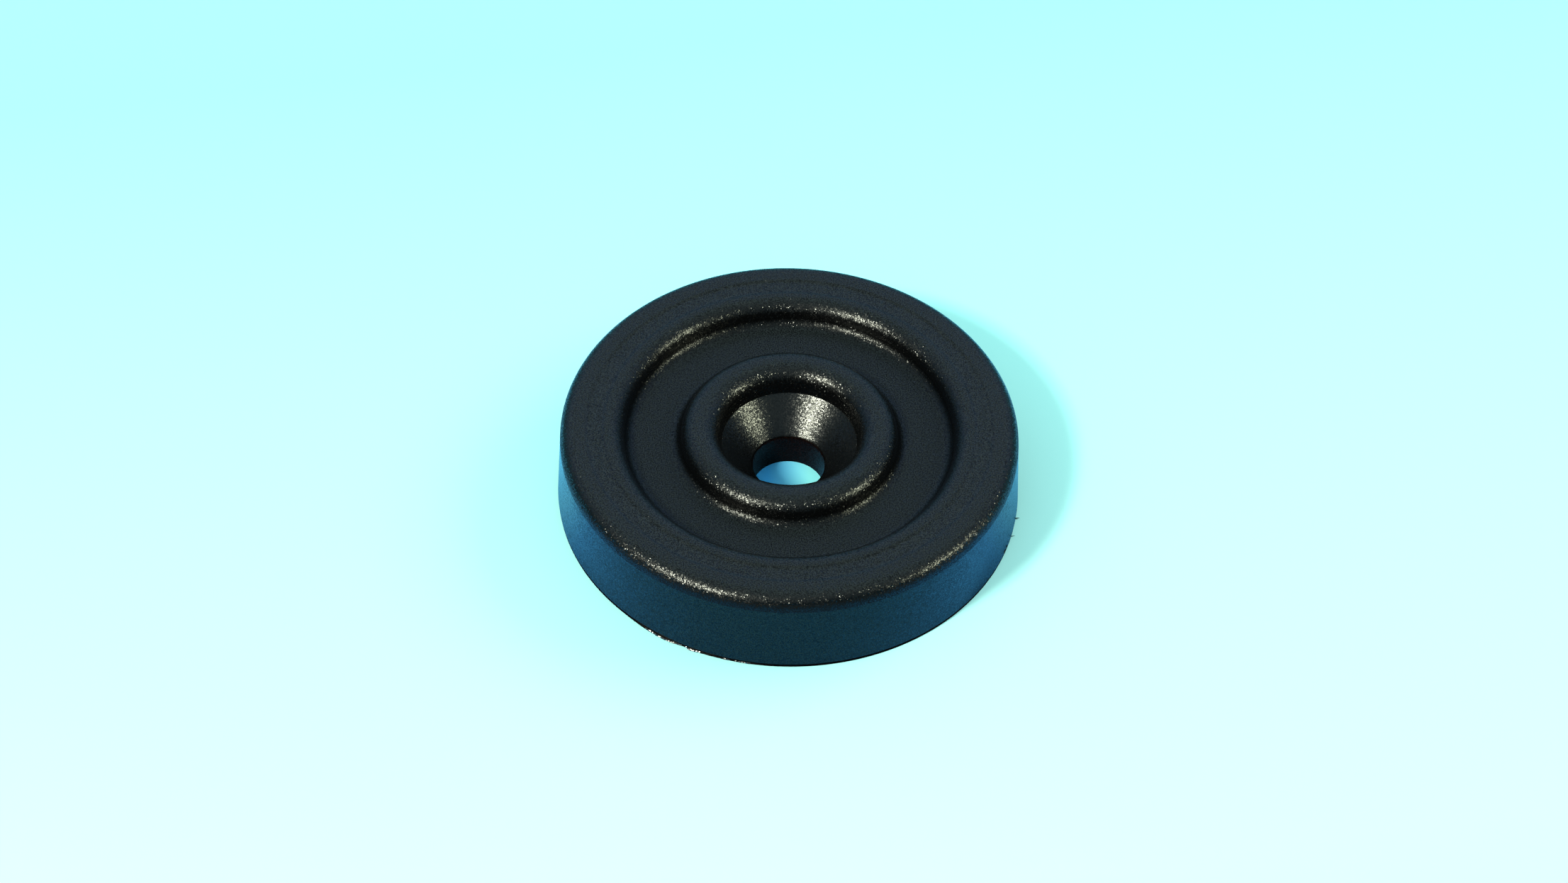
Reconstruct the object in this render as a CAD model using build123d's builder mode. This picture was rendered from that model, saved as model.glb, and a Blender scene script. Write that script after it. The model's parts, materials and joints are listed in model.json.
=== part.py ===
"""A round screw-on foot, moulded in one piece of plastic.

The foot stands on the face that is screwed to the equipment, with its tread upwards.
The origin is at the centre of that face, +Z points up through the screw hole, and
every length is in millimetres.
"""

from build123d import *

import os
from math import radians, tan

# The disc
base_diameter = 40.0
foot_height = 8.1
side_draft = 3.0
tread_edge_radius = 1.2

# The ring trough that is sunk into the tread
trough_diameter = 28.8
trough_depth = 2.1
trough_mouth_radius = 1.3
trough_floor_radius = 1.0

# The recess in the middle, and the seat and hole for a countersunk screw
recess_diameter = 12.6
recess_depth = 2.2
recess_mouth_radius = 1.5
seat_angle = 90.0
screw_hole_diameter = 6.2
seat_foot_radius = 0.5

# The boss round the recess, flush with the tread: its wall is measured from the mouth
# of the recess to the foot of the boss
boss_wall = 3.2
boss_edge_radius = 1.35

# The walls of the trough, the boss and the recess lean by this much, so that the
# moulding lets go of its tool
pocket_draft = 12.0

# Levels above the mounting face
trough_floor = foot_height - trough_depth
seat_mouth = foot_height - recess_depth

# The recess wall runs down to the rim of the conical seat
seat_radius = recess_diameter / 2 - recess_depth * tan(radians(pocket_draft))
seat_depth = (seat_radius - screw_hole_diameter / 2) / tan(radians(seat_angle / 2))
seat_foot = seat_mouth - seat_depth

# Two levels closer than this are the same level
same_level = 0.01


def rings_at(level):
    """The circular edges of the foot at one level, smallest first."""
    circles = foot.edges().filter_by(GeomType.CIRCLE)
    here = circles.filter_by_position(Axis.Z, level - same_level, level + same_level)
    return here.sort_by(SortBy.RADIUS)


with BuildPart() as foot:
    # A plain disc, a little narrower at the tread than at the mounting face
    with BuildSketch() as disc_outline:
        Circle(base_diameter / 2)
    extrude(amount=foot_height, taper=side_draft)

    # A round pocket in the tread, and the boss that turns it into a ring
    with BuildSketch(Plane.XY.offset(foot_height)) as trough_outline:
        Circle(trough_diameter / 2)
    extrude(amount=-trough_depth, taper=pocket_draft, mode=Mode.SUBTRACT)

    with BuildSketch(Plane.XY.offset(trough_floor)) as boss_outline:
        Circle(recess_diameter / 2 + boss_wall)
    extrude(amount=trough_depth, taper=pocket_draft)

    # The recess that hides the screw's head below the top of the boss
    with BuildSketch(Plane.XY.offset(foot_height)) as recess_outline:
        Circle(recess_diameter / 2)
    extrude(amount=-recess_depth, taper=pocket_draft, mode=Mode.SUBTRACT)

    # The conical seat and the clearance hole below it
    with Locations((0, 0, seat_mouth)):
        CounterSinkHole(
            radius=screw_hole_diameter / 2,
            counter_sink_radius=seat_radius,
            counter_sink_angle=seat_angle,
        )

    # The four edges at the tread's level, from the outside inwards. Each fillet leaves a
    # circle where it meets the flat, so the others keep their places in the list
    fillet(rings_at(foot_height)[3], tread_edge_radius)
    fillet(rings_at(foot_height)[2], trough_mouth_radius)
    fillet(rings_at(foot_height)[1], boss_edge_radius)
    fillet(rings_at(foot_height)[0], recess_mouth_radius)

    # The lower edge of the conical seat
    fillet(rings_at(seat_foot), seat_foot_radius)

    # Both corners of the trough's floor are filled in alike
    fillet(rings_at(trough_floor), trough_floor_radius)

foot.part.label = "foot"

os.makedirs("parts", exist_ok=True)
export_step(foot.part, "parts/foot.step")

print(f"foot: {len(foot.faces())} faces, {foot.part.volume:.1f} cubic millimetres")
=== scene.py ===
# %% [markdown]
# # A black plastic foot for a screw
#
# The real object is one small moulding, 40 mm across: a disc with a ring trough in its
# tread, and a boss in the middle with a countersunk hole for a screw. This lesson dresses
# the engineering model of it. That model arrives as a fixed frame, and everything made
# here is in metres in the same frame, so nothing has to be fitted.

# %% Load the frame
import json

import bpy
import numpy as np
from mathutils import Matrix, Vector


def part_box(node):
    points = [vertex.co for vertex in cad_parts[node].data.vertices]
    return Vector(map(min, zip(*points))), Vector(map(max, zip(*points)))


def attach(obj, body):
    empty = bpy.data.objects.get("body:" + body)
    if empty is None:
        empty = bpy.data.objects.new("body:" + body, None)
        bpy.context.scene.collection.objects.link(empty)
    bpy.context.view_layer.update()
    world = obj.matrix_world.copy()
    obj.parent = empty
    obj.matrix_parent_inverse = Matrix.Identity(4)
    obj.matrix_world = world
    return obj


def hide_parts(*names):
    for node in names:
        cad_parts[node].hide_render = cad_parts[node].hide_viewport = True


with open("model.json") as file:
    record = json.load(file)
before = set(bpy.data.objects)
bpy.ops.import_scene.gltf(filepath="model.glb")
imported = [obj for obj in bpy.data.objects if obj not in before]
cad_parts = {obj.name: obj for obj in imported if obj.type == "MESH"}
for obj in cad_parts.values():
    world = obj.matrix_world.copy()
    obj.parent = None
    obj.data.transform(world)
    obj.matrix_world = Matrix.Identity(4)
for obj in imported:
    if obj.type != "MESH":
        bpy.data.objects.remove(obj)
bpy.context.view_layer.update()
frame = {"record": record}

# %% [markdown]
# ## Sizes
#
# A moulding is drawn as a few round levels joined by leaning walls, and then every corner
# gets its rounding. The frame gives the outside and the screw hole. The trough, the boss
# and the recess have the sizes that the engineering model is built from, and the finer
# forms are added here: the sink band, the groove and the ledge.

# %% The driving sizes, in millimetres
MM = 0.001

_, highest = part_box("foot")
base_radius = highest.x / MM
foot_height = highest.z / MM
screw_hole = next(m for m in frame["record"]["mounts"] if m["name"] == "screw_hole")
bore_radius = screw_hole["dims"]["r_mm"]

side_draft = np.radians(3.0)
pocket_draft = np.radians(12.0)

trough_radius = 14.4
trough_floor = foot_height - 2.1
boss_foot_radius = 9.5
boss_top = foot_height
recess_radius = 6.3
seat_mouth = boss_top - 2.2

tread_edge_rounding = 1.2
trough_mouth_rounding = 1.3
trough_floor_rounding = 1.0
boss_edge_rounding = 1.35
recess_mouth_rounding = 1.5
seat_rim_rounding = 0.12
seat_foot_rounding = 0.5
bore_edge_rounding = 0.06

# The tread sank a little in a band where the plastic was thickest
sink_inner, sink_outer = 15.83, 17.5
sink_depth, sink_slope, sink_rounding = 0.08, 0.24, 0.35

# Along the lower edge the tool left a fine groove, with a ledge below it
groove_top, groove_middle, ledge_top = 0.34, 0.22, 0.12
groove_depth, ledge_rounding, lip_bevel = 0.14, 0.03, 0.07

# The grain of the tread runs over the edge and a little way down the side
shoulder_top, grain_end = 7.47, 6.62
print(f"foot: {2 * base_radius:.1f} across, {foot_height:.1f} high, hole {2 * bore_radius:.1f}")

# %% Where the leaning walls end
tread_radius = base_radius - foot_height * np.tan(side_draft)
trough_foot_radius = trough_radius - (foot_height - trough_floor) * np.tan(pocket_draft)
boss_top_radius = boss_foot_radius - (boss_top - trough_floor) * np.tan(pocket_draft)
seat_radius = recess_radius - (boss_top - seat_mouth) * np.tan(pocket_draft)
seat_foot = seat_mouth - (seat_radius - bore_radius)
print(f"tread radius {tread_radius:.2f}, seat radius {seat_radius:.2f}")

# %% [markdown]
# ## The section of the moulding
#
# Turned shapes are easiest to think of as a section: a closed outline in radius and
# height, carried round the axis. The outline is a polygon, and each of its corners is
# swapped for an arc. This is worked out by formula and not with a Bevel modifier, because
# every corner has a rounding of its own.

# %% Corners of the section: radius, height, rounding
corners = np.array([
    (bore_radius, 0.0, bore_edge_rounding),
    (bore_radius, seat_foot, seat_foot_rounding),
    (seat_radius, seat_mouth, seat_rim_rounding),
    (recess_radius, foot_height, recess_mouth_rounding),
    (boss_top_radius, foot_height, boss_edge_rounding),
    (boss_foot_radius, trough_floor, trough_floor_rounding),
    (trough_foot_radius, trough_floor, trough_floor_rounding),
    (trough_radius, foot_height, trough_mouth_rounding),
    (sink_inner, foot_height, sink_rounding),
    (sink_inner + sink_slope, foot_height - sink_depth, sink_rounding),
    (sink_outer - sink_slope, foot_height - sink_depth, sink_rounding),
    (sink_outer, foot_height, sink_rounding),
    (tread_radius, foot_height, tread_edge_rounding),
    (base_radius - groove_top * np.tan(side_draft), groove_top, ledge_rounding),
    (base_radius - groove_depth, groove_middle, ledge_rounding),
    (base_radius - lip_bevel, ledge_top, ledge_rounding),
    (base_radius, ledge_top - lip_bevel, ledge_rounding),
    (base_radius, 0.0, ledge_rounding),
])


def rounded_outline(corners, arc_points=24):
    """The closed outline with an arc at every corner, as points in order.

    Where the outline turns by the angle a, an arc of radius q starts q tan(a / 2) before
    the corner. A point on it is start + q sin(f) along + q (1 - cos(f)) across, for f
    from 0 to a, where across points to the side that the outline turns to.
    """
    points, q = corners[:, :2], corners[:, 2:]
    along = np.roll(points, -1, axis=0) - points
    along /= np.linalg.norm(along, axis=1, keepdims=True)
    before = np.roll(along, 1, axis=0)
    across = np.stack([-before[:, 1], before[:, 0]], axis=1)
    side = np.sum(across * along, axis=1, keepdims=True)
    turn = np.arctan2(np.abs(side), np.sum(before * along, axis=1, keepdims=True))
    start = points - q * np.tan(turn / 2) * before
    f = turn[:, None, :] * np.linspace(0, 1, arc_points)[None, :, None]
    arc = (start[:, None] + q[:, None] * np.sin(f) * before[:, None]
           + q[:, None] * (1 - np.cos(f)) * (np.sign(side) * across)[:, None])
    return arc.reshape(-1, 2)


outline = rounded_outline(corners)
print(f"section: {len(outline)} points")

# %% Spread the points where the section bends
def spread(outline, count, longest_step=0.42, largest_turn=np.radians(9.0)):
    """count points round a closed outline, spaced evenly by effort.

    The effort of a stretch is its length over longest_step, plus its turn over
    largest_turn, so that arcs get as many points as they need and flats get a few.
    """
    closed = np.vstack([outline, outline[:1]])
    step = np.diff(closed, axis=0)
    length = np.hypot(step[:, 0], step[:, 1])
    heading = np.unwrap(np.arctan2(step[:, 1], step[:, 0]))
    turn = np.abs(np.diff(heading, prepend=heading[:1]))
    effort = np.concatenate([[0], np.cumsum(length / longest_step + turn / largest_turn)])
    even = np.linspace(0, effort[-1], count, endpoint=False)
    return np.stack([np.interp(even, effort, closed[:, i]) for i in (0, 1)], axis=1)


section_points = 250
section = spread(outline, section_points)
on_side = section[:, 0] > trough_radius
grain_row = np.argmin(np.where(on_side, np.abs(section[:, 1] - grain_end), np.inf))
section[grain_row] = base_radius - grain_end * np.tan(side_draft), grain_end
print(f"section: {len(section)} points after spreading, row {grain_row} is where the grain ends")

# %% [markdown]
# ## The skin
#
# The section is carried round the axis as a grid: one parameter runs along the section,
# the other round the axis. A mesh made by formula can then be pushed about by formula
# too. The ledge at the lower edge is where plastic crept between the halves of the tool.
# At the front left it stands out as a thin tongue, then it has torn off with a step, and
# elsewhere it is only a trace.

# %% Grid helpers
def grid_faces(rows, columns):
    """The quads of a grid that is closed both ways, as rows of four vertex numbers."""
    i, j = np.meshgrid(np.arange(rows), np.arange(columns), indexing="ij")
    down, right = (i + 1) % rows, (j + 1) % columns
    quads = [i * columns + j, down * columns + j, down * columns + right, i * columns + right]
    return np.stack(quads, axis=-1).reshape(-1, 4)


def step(x, start, width):
    """A smooth step t t (3 - 2 t) from 0 to 1, where t is how far x is along the width."""
    t = np.clip((x - start) / width, 0, 1)
    return t * t * (3 - 2 * t)


def make_mesh(name, points, faces):
    """A smooth-shaded mesh object at the origin, from points in millimetres."""
    mesh = bpy.data.meshes.new(name)
    mesh.from_pydata((points * MM).tolist(), [], [list(map(int, f)) for f in faces])
    mesh.polygons.foreach_set("use_smooth", np.ones(len(mesh.polygons), bool))
    mesh.update()
    made = bpy.data.objects.new(name, mesh)
    bpy.context.scene.collection.objects.link(made)
    return made

# %% Columns of the grid, closer together where the ledge shows
tongue_from, tongue_peak, tongue_end = np.radians([226, 240, 244.5])
torn_from, ledge_to = np.radians([246, 281])
around, ledge_share = 350, 0.45


def uneven_angles(count, start, end, share):
    """count angles round the circle, with the given share of them between start and end."""
    inside = int(count * share)
    dense = np.linspace(start, end, inside, endpoint=False)
    sparse = np.linspace(end, start + 2 * np.pi, count - inside, endpoint=False)
    return np.concatenate([dense, sparse])


angle = uneven_angles(around, tongue_from, ledge_to, ledge_share)
radius, turn = np.meshgrid(section[:, 0], angle, indexing="ij")
height = np.repeat(section[:, 1:], around, axis=1)
print(f"grid: {section_points} x {around}")

# %% The ragged ledge at the lower edge
rng = np.random.default_rng(seed=7)


def ragged(turn, slowest, fastest, rng):
    """A rough periodic line from 0 to 1: sines of random phase, stronger where slower."""
    n = np.arange(slowest, fastest)
    phase = rng.uniform(0, 2 * np.pi, len(n))
    height = (np.sin(n * turn[..., None] + phase) / n ** 0.5).sum(axis=-1)
    return (height - height.min()) / (height.max() - height.min())


rough = ragged(angle, slowest=30, fastest=500, rng=rng)

# Angles in radians: how sharp a tear is, how far the tongue and the stub keep their full
# height, and how long the stub takes to fade
tear, full_for, stub_fade = 0.004, 0.015, 0.07
tongue = (step(angle, tongue_from, tongue_peak - tongue_from)
          * (1 - step(angle, tongue_peak + full_for, tongue_end - tongue_peak)))
torn = step(angle, torn_from, tear) * (1 - step(angle, torn_from, ledge_to - torn_from))
stub = step(angle, torn_from, tear) * (1 - step(angle, torn_from + full_for, stub_fade))

# Millimetres: the ledge stands back everywhere, and these forms push it out again
stands_back, tongue_reach, tongue_ripple, stub_reach, torn_ripple = 0.05, 0.13, 0.06, 0.10, 0.08
reach = (tongue * (tongue_reach + tongue_ripple * rough) + stub * stub_reach
         + torn * torn_ripple * rough - stands_back)

# Only the lowest part of the outer wall moves: 1 there, and a smooth step down to 0
still_above, still_inside = ledge_top + 0.04, base_radius - 0.7
fade_height, fade_width = 0.05, 0.3
below_groove = step(-height, -still_above, fade_height)
by_the_wall = step(radius, still_inside, fade_width)
radius = radius + below_groove * by_the_wall * reach
skin_points = np.stack(
    [radius * np.cos(turn), radius * np.sin(turn), height], axis=-1).reshape(-1, 3)
skin_faces = grid_faces(section_points, around)
print(f"ledge: {reach.min():.2f} to {reach.max():.2f} mm past the wall")

# %% [markdown]
# ## Burrs
#
# Where the halves of the tool wore, the plastic was drawn out into hairs: a few at the
# lower edge on the right, and a few at the back of the trough. Hair curves would do, but
# they aren't a mesh. Each burr is a thin closed spindle whose root is sunk into the
# skin, so it needs no join.

# %% A sliver of plastic
def sliver(root, tip, bow, thickness, steps=6, sides=5, end_gap=0.02):
    """A thin curved spindle from root to tip, as points and quads.

    Its middle line is root + t (tip - root) + 4 t (1 - t) bow for t from 0 to 1, and its
    thickness follows the square root of that same hump. It starts and stops end_gap short
    of both ends, where a small flat cap closes it.
    """
    t = np.linspace(end_gap, 1 - end_gap, steps)[:, None]
    line = root + t * (tip - root) + 4 * t * (1 - t) * bow
    along = (tip - root) / np.linalg.norm(tip - root)
    askew = (0.3, 0.5, 0.8)  # any direction that no sliver follows
    side = np.cross(along, askew)
    side /= np.linalg.norm(side)
    other = np.cross(along, side)
    a = np.linspace(0, 2 * np.pi, sides, endpoint=False)[:, None]
    ring = np.cos(a) * side + np.sin(a) * other
    points = line[:, None] + thickness / 2 * np.sqrt(4 * t * (1 - t))[:, None] * ring
    i, j = np.meshgrid(np.arange(steps - 1), np.arange(sides), indexing="ij")
    k = (j + 1) % sides
    quads = np.stack(
        [i * sides + j, i * sides + k, (i + 1) * sides + k, (i + 1) * sides + j], axis=-1)
    caps = [list(range(sides))[::-1], list(range((steps - 1) * sides, steps * sides))]
    return points.reshape(-1, 3), quads.reshape(-1, 4).tolist() + caps


def on_round(degrees, radius, height):
    """The point at an angle round the axis, a radius and a height."""
    a = np.radians(degrees)
    return np.array([radius * np.cos(a), radius * np.sin(a), height])


# %% Place the burrs and make the skin
# Root and tip as angle, radius and height, and then the thickness
burrs = [
    ((351.6, 19.93, 0.15), (353.0, 19.98, 0.75), 0.07),
    ((351.4, 19.93, 0.18), (350.6, 19.97, 0.62), 0.06),
    ((351.6, 19.82, 0.11), (352.0, 20.30, 0.10), 0.07),
    ((351.5, 19.78, 0.22), (351.0, 20.16, 0.30), 0.06),
    ((345.2, 19.82, 0.11), (345.9, 20.26, 0.14), 0.06),
    ((344.8, 19.84, 0.12), (343.9, 19.98, 0.34), 0.08),
    ((341.9, 19.95, 0.30), (340.4, 19.99, 0.62), 0.10),
    ((341.6, 19.95, 0.35), (342.2, 19.99, 0.80), 0.05),
    ((341.0, 19.95, 0.40), (338.9, 19.99, 0.45), 0.09),
    ((340.8, 19.95, 0.30), (341.3, 20.00, 0.66), 0.05),
    ((91.9, 13.72, 6.12), (91.0, 13.92, 6.50), 0.05),
    ((90.9, 13.75, 6.14), (89.7, 13.96, 6.55), 0.06),
    ((90.1, 13.60, 6.08), (88.9, 13.62, 6.20), 0.07),
    ((88.6, 13.66, 6.10), (88.0, 13.80, 6.24), 0.06),
]
largest_bow = 0.04
points, faces = [skin_points], skin_faces.tolist()
for root, tip, thickness in burrs:
    bow = rng.uniform(-largest_bow, largest_bow, 3)
    new_points, new_faces = sliver(on_round(*root), on_round(*tip), bow, thickness)
    start = sum(len(p) for p in points)
    faces += [[v + start for v in face] for face in new_faces]
    points.append(new_points)

foot_skin = make_mesh("foot_skin", np.concatenate(points), faces)
print(f"skin: {len(foot_skin.data.polygons)} faces with {len(burrs)} burrs")

# %% [markdown]
# ## Which finish goes where
#
# One moulding has several skins, because the tool was eroded in some places, polished in
# others, and worn at its parting line. They meet along rings, so each row of the grid
# gets a finish by its place in the section. Separate objects would show a seam.

# %% Which finish each band of the skin has
TREAD, TROUGH, SHOULDER, WALL, GROOVE, LIP, SEAT, BORE, UNDERSIDE = range(9)

# How far the finishes of the underside, the hole and the trough reach past their flats
underside_reach, bore_reach, trough_reach = 0.02, 0.1, 0.8

middle = (section + np.roll(section, -1, axis=0)) / 2
r, z = middle[:, 0], middle[:, 1]
side = r > trough_radius
finish_of_band = np.select(
    [z < underside_reach, side & (z < groove_top), side & (z < grain_end),
     side & (z < shoulder_top), (r < bore_radius + bore_reach) & (z < seat_foot),
     (r < seat_radius) & (z < seat_mouth),
     (r > boss_top_radius) & (z < trough_floor + trough_reach)],
    [UNDERSIDE, GROOVE, WALL, SHOULDER, BORE, SEAT, TROUGH], TREAD)
finish_of_cell = np.repeat(finish_of_band[:, None], around, axis=1)

# The lip of the ledge is torn plastic, which sparkles where it stands out: in three
# stretches, given as degrees and strength, and there only where strength and roughness
# together pass a threshold
lip_middle, lip_reach, sparkle_threshold = ledge_top - 0.03, 0.06, 1.25
lip = side & (np.abs(z - lip_middle) < lip_reach)
sparkle = np.array([
    (233, 0), (235, 1.1), (244, 1.1), (245, 0),
    (246, 1.2), (249, 1.2), (250, 0),
    (254, 0), (255, 0.75), (262, 0.75), (264, 0)])
strength = np.interp(np.degrees(angle), sparkle[:, 0], sparkle[:, 1])
bright = strength + rough > sparkle_threshold
finish_of_cell[lip[:, None] & bright[None, :]] = LIP

# The burrs in the trough sparkle too, and those at the lower edge are dark
finish_of_burr = [LIP if tip[1] < trough_radius else WALL for root, tip, thickness in burrs]
faces_of_burr = (len(foot_skin.data.polygons) - len(skin_faces)) // len(burrs)
finish_of_face = np.concatenate(
    [finish_of_cell.ravel(), np.repeat(finish_of_burr, faces_of_burr)])
foot_skin.data.polygons.foreach_set("material_index", finish_of_face.astype(np.int32))
print("bands in each finish:", np.bincount(finish_of_band))

# %% How level each part of the skin lies: 1 where it is flat and 0 where it stands upright
across = np.roll(section, -1, axis=0) - np.roll(section, 1, axis=0)
level = np.abs(across[:, 0]) / np.linalg.norm(across, axis=1)
level_of_point = np.zeros(len(foot_skin.data.vertices))
level_of_point[:len(skin_points)] = np.repeat(level, around)
attribute = foot_skin.data.attributes.new("level", "FLOAT", "POINT")
attribute.data.foreach_set("value", level_of_point)
print(f"level: {np.mean(level > 0.99):.0%} of the rows lie flat")

# %% [markdown]
# ## Finishes
#
# Every finish is made of shader nodes that read the place on the object, so it needs no
# images and no unwrapping, and it stays put when the foot moves.

# %% A short way to write shader nodes
def add_node(tree, kind, inputs=None, **settings):
    """Adds one shader node, applies its settings, and sets or links its inputs."""
    made = tree.nodes.new("ShaderNode" + kind)
    for name, value in settings.items():
        setattr(made, name, value)
    for name, value in (inputs or {}).items():
        if isinstance(value, bpy.types.NodeSocket):
            tree.links.new(value, made.inputs[name])
        else:
            made.inputs[name].default_value = value
    return made


def new_material(name):
    """An empty node material and its output node."""
    made = bpy.data.materials.new(name)
    made.use_nodes = True
    made.node_tree.nodes.clear()
    return made, add_node(made.node_tree, "OutputMaterial")


# %% Grain, facets and streaks
def object_place(tree):
    """The place in the object's own frame, in metres."""
    return add_node(tree, "TexCoord").outputs["Object"]


def smooth_noise(tree, place, spacing, detail=2.0):
    """Smooth noise of about the given spacing in metres, between 0 and 1."""
    noise = add_node(tree, "TexNoise", {
        "Vector": place, "Scale": 1 / spacing, "Detail": detail, "Roughness": 0.6})
    return noise.outputs["Fac"]


def number_math(tree, operation, one, other):
    """The result of one operation on two numbers."""
    return add_node(tree, "Math", {0: one, 1: other}, operation=operation).outputs["Value"]


def vector_math(tree, operation, *inputs):
    """The result of one vector operation."""
    made = add_node(tree, "VectorMath", dict(enumerate(inputs)), operation=operation)
    return made.outputs["Vector"]


def leaning_facets(tree, place, spacing, lean, steep):
    """The normal, leant a different way in every grain.

    Each grain of a Voronoi pattern has a random colour c, and s = 2c - 1. The lean is
    lean s + steep s to the ninth: all grains lean a little, and a few of them lean far
    enough to catch a lamp where the surface itself doesn't.
    """
    grains = add_node(tree, "TexVoronoi", {"Vector": place, "Scale": 1 / spacing})
    s = vector_math(tree, "MULTIPLY_ADD", grains.outputs["Color"], (2, 2, 2), (-1, -1, -1))
    third = vector_math(tree, "MULTIPLY", vector_math(tree, "MULTIPLY", s, s), s)
    ninth = vector_math(tree, "MULTIPLY", vector_math(tree, "MULTIPLY", third, third), third)
    far = vector_math(tree, "MULTIPLY", ninth, (steep, steep, steep))
    offset = vector_math(tree, "MULTIPLY_ADD", s, (lean, lean, lean), far)
    normal = add_node(tree, "NewGeometry").outputs["Normal"]
    return vector_math(tree, "NORMALIZE", vector_math(tree, "ADD", normal, offset))


def between(tree, factor, low, high, start=0.3, end=0.7):
    """A value that goes from low to high while a factor goes from start to end."""
    ranged = add_node(tree, "MapRange", {
        "Value": factor, "From Min": start, "From Max": end, "To Min": low, "To Max": high})
    return ranged.outputs["Result"]


def blend(tree, factor, one, other):
    """A colour that follows a factor from one colour to the other."""
    ramp = add_node(tree, "ValToRGB", {"Fac": factor})
    for element, colour in zip(ramp.color_ramp.elements, (one, other)):
        element.color = (*colour, 1)
    return ramp.outputs["Color"]


# %% [markdown]
# ## Grained plastic
#
# A spark-eroded tool leaves tiny pits, and the plastic copies them as grains that
# glitter one by one in the light. A Bump node smooths grains away when they are small in
# the view, so here the normal itself is leant, a different way in every cell of a
# Voronoi pattern. Pale specks on level skin are painted light: they stand for the lit
# tops of the grains.

# %% Grained black plastic
coal = (0.0004, 0.0005, 0.0006)
# Painted light: this warm brown on the shoulder stands for the key lamp's warm glow
painted_key_glow = (0.0026, 0.0021, 0.0014)
# The pale colours below are painted light: the lit tops of the grains on level skin, dimmer in
# the trough
painted_trough_grain_light = (0.0118, 0.0158, 0.0158)
painted_grain_light = (0.0132, 0.0172, 0.0170)

fine_grain, torn_grain = 0.00008, 0.00012
speck_size = 1.25  # in grains
speck_from, speck_to = 0.41, 0.59  # the part of the noise that shades from deep to pale
level_power = 5.0
flow_spacing, flow_spread = 0.006, 0.02


def grained_plastic(name, roughness, grain, lean, steep, shine, deep=coal, pale=painted_grain_light):
    """Black plastic from a spark-eroded tool.

    grain is the spacing of the grains in metres, and lean and steep are how far they lean.
    Specks of the pale colour are painted light where the skin lies level, because there
    each grain has a lit top, and the rest has the deep colour.
    """
    made, output = new_material(name)
    tree = made.node_tree
    place = object_place(tree)
    facets = leaning_facets(tree, place, grain, lean, steep)
    noise = smooth_noise(tree, place, speck_size * grain, detail=1.0)
    # Painted light: pale specks where the skin lies level, for the lit tops of the grains
    specks = between(tree, noise, 0.0, 1.0, speck_from, speck_to)
    level = add_node(tree, "Attribute", attribute_name="level").outputs["Fac"]
    lit = number_math(tree, "POWER", level, level_power)
    amount = number_math(tree, "MULTIPLY", specks, lit)
    flow = smooth_noise(tree, place, flow_spacing)
    shader = add_node(tree, "BsdfPrincipled", {
        "Base Color": blend(tree, amount, deep, pale),
        "Roughness": between(tree, flow, roughness - flow_spread, roughness + flow_spread),
        "Specular IOR Level": shine, "Normal": facets})
    tree.links.new(shader.outputs["BSDF"], output.inputs["Surface"])
    return made


tread_finish = grained_plastic(
    "grained_tread", roughness=0.29, grain=fine_grain, lean=0.085, steep=0.36, shine=0.22)
trough_finish = grained_plastic(
    "grained_trough", roughness=0.29, grain=fine_grain, lean=0.085, steep=0.28, shine=0.15,
    pale=painted_trough_grain_light)
# The shoulder's deep colour is painted warm light from the key lamp
shoulder_finish = grained_plastic(
    "grained_shoulder", roughness=0.40, grain=fine_grain, lean=0.27, steep=0.0, shine=0.12,
    deep=painted_key_glow)
lip_finish = grained_plastic(
    "torn_lip", roughness=0.22, grain=torn_grain, lean=0.15, steep=0.30, shine=0.80)
seat_finish = grained_plastic(
    "sparkling_seat", roughness=0.28, grain=fine_grain, lean=0.11, steep=0.0, shine=0.27)
print(f"grains: {fine_grain / MM:.2f} mm apart, and {torn_grain / MM:.2f} on the torn lip")

# %% [markdown]
# ## Satin plastic
#
# The side wall, the hole and the groove come from polished steel. Drawing the foot out
# of the tool left faint streaks along Z. The streaks are noise on the wall unrolled
# flat, as arc length and height, with the height shrunk so that the noise is drawn out.

# %% Satin plastic for the side wall, the groove and the hole
streak_spacing, streak_shrink = 0.00022, 0.05
pore_spacing, pore_lean, pore_from, pore_to = 0.0001, 0.11, 0.4, 0.6
line_spread = 0.03
black = (0.0, 0.0, 0.0)


def satin_plastic(name, roughness, shine, streak, pale):
    """Smooth black plastic with pale pores and fine streaks along Z.

    The streaks lie at X = radius times the angle round Z, and Z = height times
    streak_shrink. streak is their depth in metres.
    """
    made, output = new_material(name)
    tree = made.node_tree
    place = object_place(tree)
    split = add_node(tree, "SeparateXYZ", {"Vector": place})
    turned = number_math(tree, "ARCTAN2", split.outputs["Y"], split.outputs["X"])
    arc = number_math(tree, "MULTIPLY", turned, base_radius * MM)
    slow_rise = number_math(tree, "MULTIPLY", split.outputs["Z"], streak_shrink)
    drawn = add_node(tree, "CombineXYZ", {"X": arc, "Z": slow_rise}).outputs["Vector"]
    lines = smooth_noise(tree, drawn, streak_spacing)
    pores = smooth_noise(tree, place, pore_spacing)
    specks = between(tree, pores, 0.0, 1.0, pore_from, pore_to)
    facets = leaning_facets(tree, place, pore_spacing, pore_lean, steep=0.0)
    bump = add_node(tree, "Bump", {"Height": lines, "Distance": streak, "Normal": facets})
    shader = add_node(tree, "BsdfPrincipled", {
        "Base Color": blend(tree, specks, black, pale),
        "Roughness": between(tree, lines, roughness - line_spread, roughness + line_spread),
        "Specular IOR Level": shine, "Normal": bump.outputs["Normal"]})
    tree.links.new(shader.outputs["BSDF"], output.inputs["Surface"])
    return made


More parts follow.
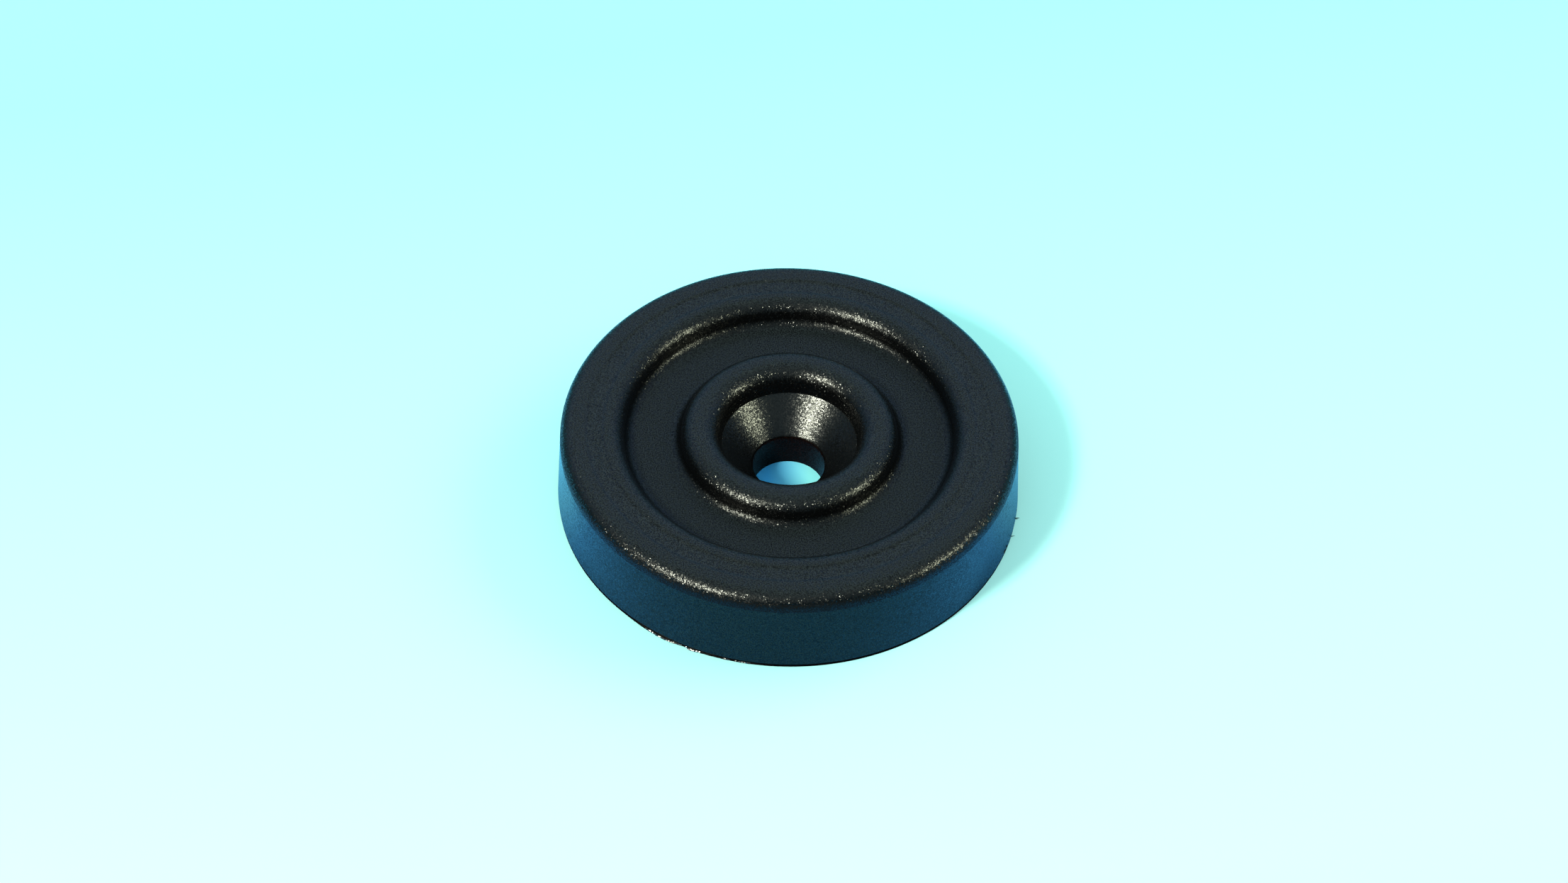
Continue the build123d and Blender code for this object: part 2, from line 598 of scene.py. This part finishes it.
wall_finish = satin_plastic(
    "satin_wall", roughness=0.15, shine=0.175, streak=0.000004, pale=(0.007, 0.014, 0.009))
groove_finish = satin_plastic(
    "dull_groove", roughness=0.50, shine=0.02, streak=0.000004, pale=(0.0008, 0.0008, 0.0010))
bore_finish = satin_plastic(
    "satin_bore", roughness=0.30, shine=0.06, streak=0.000006, pale=(0.008, 0.003, 0.002))
streak_width = streak_spacing / MM
print(f"streaks: about {streak_width:.2f} mm wide and {streak_width / streak_shrink:.1f} long")

# %% [markdown]
# ## Turned plastic
#
# The mounting face is hidden in use. Its half of the tool is a plate faced on a lathe,
# so it is dull, with faint rings round the hole.

# %% Turned plastic for the mounting face
# A wave texture repeats every pi / 10 of its unit, so there is a ring every 0.38 mm
wave_unit, ring_depth = 0.0012, 0.000008
dull_spacing, dull_depth = 0.0002, 0.00001
patch_spacing = 0.008


def turned_plastic(name):
    """Dull black plastic that copies the turning marks of its tool as fine rings."""
    made, output = new_material(name)
    tree = made.node_tree
    place = object_place(tree)
    rings = add_node(tree, "TexWave", {
        "Vector": place, "Scale": 1 / wave_unit, "Distortion": 0.4, "Detail": 1.0},
        wave_type="RINGS", rings_direction="Z")
    dull = smooth_noise(tree, place, dull_spacing)
    fine = add_node(tree, "Bump", {"Height": dull, "Distance": dull_depth})
    bump = add_node(tree, "Bump", {
        "Height": rings.outputs["Fac"], "Distance": ring_depth, "Normal": fine.outputs["Normal"]})
    flow = smooth_noise(tree, place, patch_spacing)
    shader = add_node(tree, "BsdfPrincipled", {
        "Base Color": blend(tree, flow, (0.004, 0.0045, 0.005), (0.007, 0.008, 0.009)),
        "Roughness": between(tree, flow, 0.38, 0.46), "Normal": bump.outputs["Normal"]})
    tree.links.new(shader.outputs["BSDF"], output.inputs["Surface"])
    return made


underside_finish = turned_plastic("turned_underside")
print(f"rings: {wave_unit / MM * np.pi / 10:.2f} mm apart")

# %% Dress the skin: the order is that of the finish numbers
for finish in (tread_finish, trough_finish, shoulder_finish, wall_finish,
               groove_finish, lip_finish, seat_finish, bore_finish, underside_finish):
    foot_skin.data.materials.append(finish)
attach(foot_skin, "root")
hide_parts("foot")
print("finishes:", ", ".join(finish.name for finish in foot_skin.data.materials))

# %% [markdown]
# ## The table
#
# The foot lies on a sheet of pale paper, here a wide disc just below it. The satin wall
# mirrors the paper near the foot, and that image is far bluer and darker than the paper
# looks from above. So the paper has two colours: one that the camera sees, and its own,
# which all other light meets.

# %% The table top
def disc(name, radius, rings=24, columns=96):
    """A flat disc as a polar grid.

    The radius grows with the square of the ring number, so it is fine in the middle.
    """
    r = radius * np.linspace(0, 1, rings + 1)[1:] ** 2
    a = np.linspace(0, 2 * np.pi, columns, endpoint=False)
    ring, turn = np.meshgrid(r, a, indexing="ij")
    points = np.stack([ring * np.cos(turn), ring * np.sin(turn), 0 * ring], axis=-1)
    # The quads that would join the rim to the first ring go, and one face fills that ring
    faces = [f for f in grid_faces(rings, columns).tolist() if abs(f[0] - f[1]) == columns]
    faces.append(range(columns))
    return make_mesh(name, points.reshape(-1, 3), faces)


table_radius, table_gap = 1500.0, 0.01  # in millimetres
table_top = disc("table_top", table_radius)
table_top.location.z = -table_gap * MM
print(f"table: {len(table_top.data.polygons)} faces")

# %% The paper's colours
def distance_out(tree):
    """The distance from the middle of the foot, in metres."""
    length = add_node(tree, "VectorMath", {0: object_place(tree)}, operation="LENGTH")
    return length.outputs["Value"]


def colour_between(tree, factor, start, end, one, other):
    """A colour that goes from one to the other while a length goes from start to end."""
    return blend(tree, between(tree, factor, 0.0, 1.0, start, end), one, other)


def mixed_colour(tree, factor, one, other):
    """One colour where the factor is 0, and the other where it is 1."""
    first, second, result = 6, 7, 2  # where a Mix node keeps its sockets for colours
    made = add_node(
        tree, "Mix", {"Factor": factor, first: one, second: other}, data_type="RGBA")
    return made.outputs[result]


def seen_colour(tree):
    """The paper as the camera sees it, which is brighter towards the front right.

    The screw hole lies within hole_reach of the middle. There the paper has a painted shade
    at the left and painted light at the right. Lengths are in metres.
    """
    # Painted light: the open paper grows brighter from far_paper towards near_paper at the front
    # right
    near_paper, far_paper = (0.40, 0.725, 0.70), (0.255, 0.725, 0.70)
    # Painted shade at the left of the hole, and painted light at its right
    shaded_hole, lit_hole = (0.06, 0.44, 0.92), (0.25, 0.81, 0.82)
    to_the_back_left = (-0.2, 1.0, 0.0)
    near_to_far, left_to_right = (-0.045, 0.06), (-0.0018, 0.0018)
    hole_reach = 0.01
    place = object_place(tree)
    run = add_node(tree, "VectorMath", {0: place, 1: to_the_back_left}, operation="DOT_PRODUCT")
    open_paper = colour_between(tree, run.outputs["Value"], *near_to_far, near_paper, far_paper)
    sideways = add_node(tree, "SeparateXYZ", {"Vector": place}).outputs["X"]
    hole_paper = colour_between(tree, sideways, *left_to_right, shaded_hole, lit_hole)
    outside = number_math(tree, "GREATER_THAN", distance_out(tree), hole_reach)
    return mixed_colour(tree, outside, hole_paper, open_paper)


def own_colour(tree):
    """The paper as the foot mirrors it: a product of four tones.

    It is blue round the foot and dark further out, dimmer in front, has a painted shade
    right beside the foot but not in front of it, and is paler from near the foot's widest
    part to the back. Distances from the middle and places along Y are in metres.
    """
    blue, dark, blue_to_dark = (0.105, 0.55, 1.0), (0.03, 0.17, 0.20), (0.027, 0.060)
    dim, lit, dim_to_lit = (0.80, 0.80, 0.81), (0.98, 1.02, 1.17), (-0.024, -0.015)
    plain, pale, plain_to_pale = (1.0, 1.0, 1.0), (1.5, 1.22, 0.92), (-0.008, -0.003)
    # Painted shade: the paper right beside the foot's sides is darkened by up to shade
    shade, touching_to_clear, front_to_side = 0.35, (0.0203, 0.0213), (-0.018, -0.010)
    ahead = add_node(tree, "SeparateXYZ", {"Vector": object_place(tree)}).outputs["Y"]
    away = distance_out(tree)
    ringed = colour_between(tree, away, *blue_to_dark, blue, dark)
    dimmed = colour_between(tree, ahead, *dim_to_lit, dim, lit)
    paler = colour_between(tree, ahead, *plain_to_pale, plain, pale)
    touching = between(tree, away, 1.0, 0.0, *touching_to_clear)
    abreast = between(tree, ahead, 0.0, shade, *front_to_side)
    shaded = number_math(
        tree, "SUBTRACT", 1.0, number_math(tree, "MULTIPLY", touching, abreast))
    colour = ringed
    for tone in (dimmed, shaded, paler):
        colour = vector_math(tree, "MULTIPLY", colour, tone)
    return colour


# %% The paper
def mixed_shader(tree, factor, one, other):
    """One shader where the factor is 0, and the other where it is 1."""
    return add_node(tree, "MixShader", {0: factor, 1: one, 2: other}).outputs["Shader"]


paper, output = new_material("pale_paper")
tree = paper.node_tree
own = add_node(tree, "BsdfDiffuse", {"Color": own_colour(tree)}).outputs["BSDF"]
seen = add_node(tree, "BsdfDiffuse", {"Color": seen_colour(tree)}).outputs["BSDF"]
for_camera = add_node(tree, "LightPath").outputs["Is Camera Ray"]
tree.links.new(mixed_shader(tree, for_camera, own, seen), output.inputs["Surface"])
table_top.data.materials.append(paper)
print(f"paper: {len(tree.nodes)} shader nodes")

# %% [markdown]
# ## The lamps
#
# The foot is lit from the front left, and more weakly from the right. Each light is
# split in two lamps: one only shades, and one only glints. That way the glitter of the
# grain can be strong without making the plastic look grey.

# %% Softboxes
def direction(azimuth, elevation):
    """The unit vector towards an azimuth, turned from +X to +Y, and a height above the table."""
    a, e = np.radians(azimuth), np.radians(elevation)
    return Vector((np.cos(a) * np.cos(e), np.sin(a) * np.cos(e), np.sin(e)))


def softbox(name, azimuth, elevation, width, height, watts, colour, distance=0.6):
    """A rectangular lamp that faces the foot, with its sides and distance in metres."""
    lamp = bpy.data.lights.new(name, "AREA")
    lamp.shape = "RECTANGLE"
    lamp.size, lamp.size_y = width, height
    lamp.energy, lamp.color = watts, colour
    made = bpy.data.objects.new(name, lamp)
    away = direction(azimuth, elevation)
    made.location = away * distance
    made.rotation_euler = away.to_track_quat("Z", "Y").to_euler()
    bpy.context.scene.collection.objects.link(made)
    return made


# Azimuth and elevation in degrees, width and height in metres, power in watts
warm = (1.0, 0.98, 0.90)
key_shade = softbox("key_shade", 221, 46, 0.08, 0.08, 3.95, warm)
key_glint = softbox("key_glint", 227, 36, 0.08, 0.08, 9.0, (0.95, 0.98, 0.80))
side_shade = softbox("side_shade", 20, 35, 0.50, 0.25, 2.5, warm)
side_glint = softbox("side_glint", 343, 24, 0.10, 0.10, 3.3, (0.95, 1.0, 0.72))
for lamp in (key_shade, side_shade):
    lamp.visible_glossy = False
for lamp in (key_glint, side_glint):
    lamp.visible_diffuse = False
print("lamps:", ", ".join(lamp.name for lamp in (key_shade, key_glint, side_shade, side_glint)))

# %% [markdown]
# ## The sky
#
# The level parts of the foot mirror the room above it. A world shader gives each kind of
# ray its own sky: a plain pale one for the camera, a plain bright one for shading, and
# for mirrored light a front half and a back half whose colours follow the height.

# %% A sky that follows the height
def sky(tree, rise, stops):
    """A colour that follows the height of a direction, from stops of height and colour."""
    ramp = add_node(tree, "ValToRGB", {"Fac": rise})
    while len(ramp.color_ramp.elements) < len(stops):
        ramp.color_ramp.elements.new(1.0)
    for element, (where, colour) in zip(ramp.color_ramp.elements, stops):
        element.position = where
        element.color = (*colour, 1)
    return ramp.outputs["Color"]


# Height of the direction, and the colour there
front_stops = [
    (0.0, (0.03, 0.07, 0.09)), (0.26, (0.08, 0.20, 0.26)), (0.5, (0.26, 0.42, 0.50)),
    (0.75, (0.43, 0.62, 0.70))]
back_stops = [
    (0.0, (0.08, 0.30, 0.44)), (0.35, (0.20, 0.44, 0.72)), (0.6, (0.46, 0.72, 1.35)),
    (0.71, (0.44, 0.66, 1.05)), (0.8, (0.35, 0.51, 0.47)), (1.0, (0.37, 0.57, 0.57))]
print(f"sky: {len(front_stops)} stops in front, {len(back_stops)} behind")

# %% The world
def plain_sky(tree, colour):
    """The shader of a sky that has a colour, or a colour output, at plain strength."""
    return add_node(tree, "Background", {"Color": colour, "Strength": 1.0}).outputs["Background"]


world = bpy.data.worlds.new("studio_air")
world.use_nodes = True
tree = world.node_tree
tree.nodes.clear()
look = add_node(tree, "TexCoord").outputs["Generated"]
split = add_node(tree, "SeparateXYZ", {"Vector": look})
front = sky(tree, split.outputs["Z"], front_stops)
back = sky(tree, split.outputs["Z"], back_stops)
front_to_back = (0.0, 0.55)  # as Y of the direction
backward = between(tree, split.outputs["Y"], 0.0, 1.0, *front_to_back)

# gleam is for mirrored light, air for shading, and backdrop for the camera
gleam = plain_sky(tree, mixed_colour(tree, backward, front, back))
air = plain_sky(tree, (0.80, 1.0, 1.04, 1))
backdrop = plain_sky(tree, (0.75, 0.96, 0.96, 1))
ray = add_node(tree, "LightPath")
lit = mixed_shader(tree, ray.outputs["Is Glossy Ray"], air, gleam)
seen = mixed_shader(tree, ray.outputs["Is Camera Ray"], lit, backdrop)
world_output = add_node(tree, "OutputWorld")
tree.links.new(seen, world_output.inputs["Surface"])
bpy.context.scene.world = world
print(f"sky: {len(tree.nodes)} shader nodes")

# %% [markdown]
# ## The camera
#
# A short telephoto lens looks down at the foot from the front, rolled a little.

# %% The camera: distance in metres, elevation in degrees, aim in millimetres
camera_distance = 0.322
camera_elevation = 48.366
camera_aim = Vector((-0.464, 5.453, 0)) * MM
camera_roll = np.radians(1.451)

lens = bpy.data.cameras.new("camera")
lens.lens = 84.9
lens.sensor_width = 36.0
camera = bpy.data.objects.new("camera", lens)
bpy.context.scene.collection.objects.link(camera)
camera.location = direction(270, camera_elevation) * camera_distance
toward = (camera_aim - camera.location).normalized()
upright = toward.to_track_quat("-Z", "Y").to_matrix()
camera.rotation_euler = (upright @ Matrix.Rotation(camera_roll, 3, "Z")).to_euler()
bpy.context.scene.camera = camera
bpy.context.scene.view_settings.view_transform = "Standard"
print("camera at", [round(v, 4) for v in camera.location])
